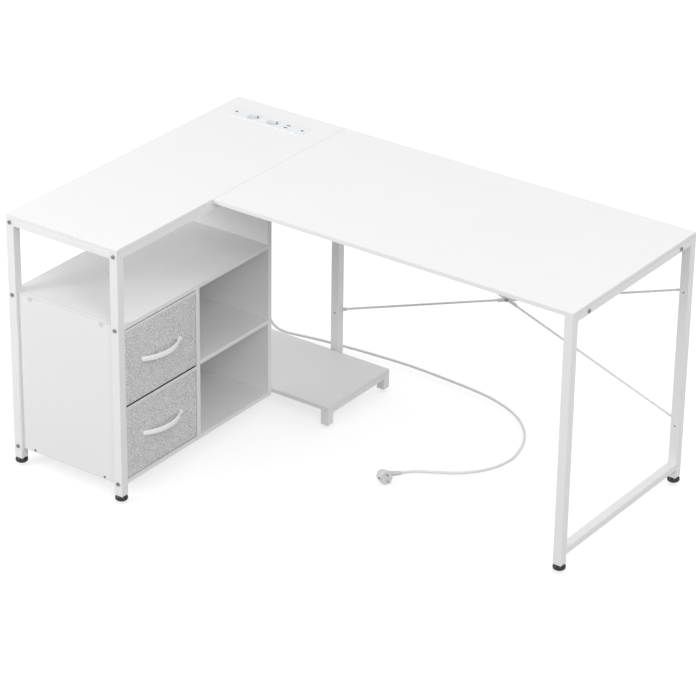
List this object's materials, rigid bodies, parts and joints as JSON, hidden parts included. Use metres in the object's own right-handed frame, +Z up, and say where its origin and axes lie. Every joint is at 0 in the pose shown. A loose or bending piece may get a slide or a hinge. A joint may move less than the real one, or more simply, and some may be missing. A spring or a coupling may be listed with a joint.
{
  "type": "corner desk",
  "caption": "L-shaped corner desk on square steel tubes, with a shelf cabinet, two cloth drawers, a let-in power strip with cord and a floor stand for a computer.",
  "frame": {"origin": "on the floor, under the middle of the desk's bounding box (cord and plug left out)", "axes": "+X along the long wing, away from the short wing; +Y to the back edge; +Z up"},
  "size_m": [1.51, 1.1116, 0.7434],
  "materials": {
    "top_board": "white laminate on board, satin",
    "board": "white laminate on board, satin",
    "back_sheet": "thin white hardboard",
    "drawer_cloth": "grey non-woven cloth over stiff board",
    "drawer_front_cloth": "heather grey woven cloth over board",
    "handle": "white, smooth",
    "bright_screw": "zinc plated",
    "dark_bolt": "black oxide, satin",
    "cap": "pale grey plastic",
    "foot": "black plastic",
    "insert": "black plastic",
    "strip": "bluish white plastic",
    "contact": "plain",
    "gland": "white plastic",
    "cord": "white vinyl sheath",
    "plug": "white moulded plastic",
    "pin": "nickel plated",
    "brace": "white powder coat",
    "frame": "white powder coat, fine texture"
  },
  "bodies": {
    "desk": {"short_top": "top_board", "long_top": "top_board", "leg_front_left": "frame", "leg_front_inner": "frame", "leg_back_left": "frame", "leg_back_inner": "frame", "leg_right_front": "frame", "leg_right_back": "frame", "front_end_rail": "frame", "back_end_rail": "frame", "outer_side_rail": "frame", "inner_side_rail": "frame", "long_front_rail": "frame", "long_back_rail": "frame", "right_end_rail": "frame", "right_bottom_bar": "frame", "frame_bolts": "dark_bolt", "brace_rising": "brace", "brace_falling": "brace", "brace_bolts": "dark_bolt", "end_panel": "board", "far_panel": "board", "divider": "board", "bottom_board": "board", "mid_shelf": "board", "compartment_shelf": "board", "drawer_shelf": "board", "back_panel": "back_sheet", "panel_screws": "dark_bolt", "panel_caps": "cap", "stand_board": "board", "stand_right_front_leg": "frame", "stand_right_back_leg": "frame", "stand_right_rail": "frame", "stand_left_front_leg": "frame", "stand_left_back_leg": "frame", "stand_left_rail": "frame", "leg_inserts": "insert", "strip_cover": "strip", "left_socket": "strip", "right_socket": "strip", "charging_ports": "strip", "strip_housing": "strip", "strip_contacts": "contact", "strip_screws": "dark_bolt", "strip_gland": "gland", "cord": "cord", "plug_body": "plug", "plug_pins": "pin"},
    "upper_drawer": {"upper_drawer_box": "drawer_cloth", "upper_drawer_front": "drawer_front_cloth", "upper_drawer_handle": "handle", "upper_handle_screws": "bright_screw"},
    "lower_drawer": {"lower_drawer_box": "drawer_cloth", "lower_drawer_front": "drawer_front_cloth", "lower_drawer_handle": "handle", "lower_handle_screws": "bright_screw"},
    "levelling_foot_front_left": {"foot_front_left": "foot"},
    "levelling_foot_front_inner": {"foot_front_inner": "foot"},
    "levelling_foot_back_left": {"foot_back_left": "foot"},
    "levelling_foot_back_inner": {"foot_back_inner": "foot"},
    "levelling_foot_right_front": {"foot_right_front": "foot"},
    "levelling_foot_right_back": {"foot_right_back": "foot"}
  },
  "joints": [
    {"name": "upper_drawer_slide", "type": "slide", "parent": "desk", "child": "upper_drawer", "axis": [1, 0, 0], "range_m": [0, 0.28]},
    {"name": "lower_drawer_slide", "type": "slide", "parent": "desk", "child": "lower_drawer", "axis": [1, 0, 0], "range_m": [0, 0.28]},
    {"name": "foot_screw_front_left", "type": "slide", "parent": "desk", "child": "levelling_foot_front_left", "axis": [0, 0, -1], "range_m": [0, 0.01]},
    {"name": "foot_screw_front_inner", "type": "slide", "parent": "desk", "child": "levelling_foot_front_inner", "axis": [0, 0, -1], "range_m": [0, 0.01]},
    {"name": "foot_screw_back_left", "type": "slide", "parent": "desk", "child": "levelling_foot_back_left", "axis": [0, 0, -1], "range_m": [0, 0.01]},
    {"name": "foot_screw_back_inner", "type": "slide", "parent": "desk", "child": "levelling_foot_back_inner", "axis": [0, 0, -1], "range_m": [0, 0.01]},
    {"name": "foot_screw_right_front", "type": "slide", "parent": "desk", "child": "levelling_foot_right_front", "axis": [0, 0, -1], "range_m": [0, 0.01]},
    {"name": "foot_screw_right_back", "type": "slide", "parent": "desk", "child": "levelling_foot_right_back", "axis": [0, 0, -1], "range_m": [0, 0.01]}
  ]
}
